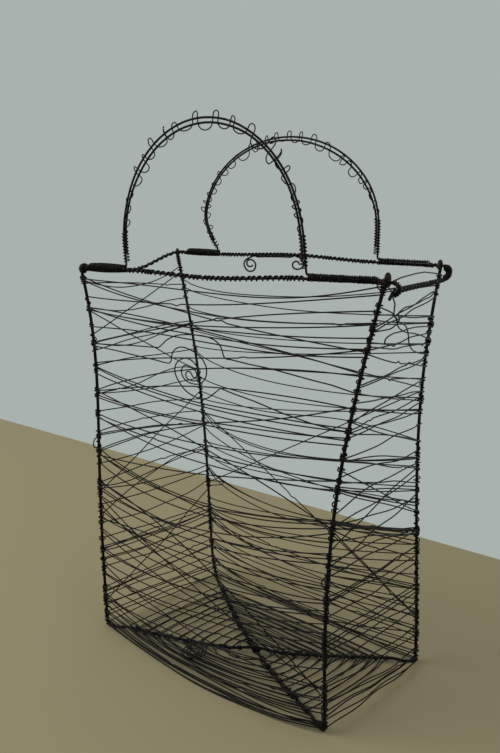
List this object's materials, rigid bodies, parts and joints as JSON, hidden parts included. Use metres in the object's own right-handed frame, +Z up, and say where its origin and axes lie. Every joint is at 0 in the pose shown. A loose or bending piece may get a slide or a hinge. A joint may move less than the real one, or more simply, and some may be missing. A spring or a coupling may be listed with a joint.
{
  "type": "wire shopping bag",
  "caption": "Tall free-standing shopping bag bent and laced from black iron wire, with two double-rod handles that swing on the rim.",
  "frame": {"origin": "on the floor, under the middle of the bag's bounding box", "axes": "+Z up, +X along the front side from its left post to its front post, +Y towards the back"},
  "size_m": [0.3415, 0.192, 0.5241],
  "materials": {
    "frame_rod": "dull black annealed iron rod with brown rust in places",
    "rusty_rod": "dull black annealed iron rod, browner with rust at its top",
    "binding_wire": "thin black annealed binding wire",
    "weave_wire": "thin black annealed wire, dull",
    "scroll_wire": "thin black annealed wire, dull"
  },
  "bodies": {
    "bag": {"back_rim_scroll": "scroll_wire", "floor_crossing_lashing": "binding_wire", "floor_scroll": "scroll_wire", "floor_wire_back": "weave_wire", "floor_wire_front": "weave_wire", "floor_wire_left": "weave_wire", "floor_wire_right": "weave_wire", "foot_binding_back_left": "binding_wire", "foot_binding_back_right": "binding_wire", "foot_binding_front_left": "binding_wire", "foot_binding_front_right": "binding_wire", "frame_rod_back_front": "rusty_rod", "frame_rod_left_right": "frame_rod", "front_scroll": "scroll_wire", "rim_rod": "frame_rod", "rim_wrap_back": "binding_wire", "rim_wrap_front": "binding_wire", "rim_wrap_left": "binding_wire", "rim_wrap_right": "binding_wire", "weave_back_high": "weave_wire", "weave_back_low_a": "weave_wire", "weave_back_low_b": "weave_wire", "weave_back_mid": "weave_wire", "weave_front_high": "weave_wire", "weave_front_low_a": "weave_wire", "weave_front_low_b": "weave_wire", "weave_front_mid": "weave_wire", "weave_left_high": "weave_wire", "weave_left_low_a": "weave_wire", "weave_left_low_b": "weave_wire", "weave_left_mid": "weave_wire", "weave_right_high": "weave_wire", "weave_right_low_a": "weave_wire", "weave_right_low_b": "weave_wire", "weave_right_mid": "weave_wire"},
    "front_handle": {"front_handle_coil": "binding_wire", "front_handle_inner_rod": "frame_rod", "front_handle_outer_rod": "frame_rod"},
    "back_handle": {"back_handle_coil": "binding_wire", "back_handle_inner_rod": "frame_rod", "back_handle_outer_rod": "frame_rod"}
  },
  "joints": [
    {"name": "front_handle_hinge", "type": "hinge", "parent": "bag", "child": "front_handle", "pos_m": [-0.00163, -0.07809, 0.39196], "axis": [0.996, 0.0883, 0.0169], "range_deg": [-30, 110]},
    {"name": "back_handle_hinge", "type": "hinge", "parent": "bag", "child": "back_handle", "pos_m": [-0.02887, 0.07779, 0.39378], "axis": [0.9974, 0.0726, 0.0013], "range_deg": [-110, 30]}
  ]
}
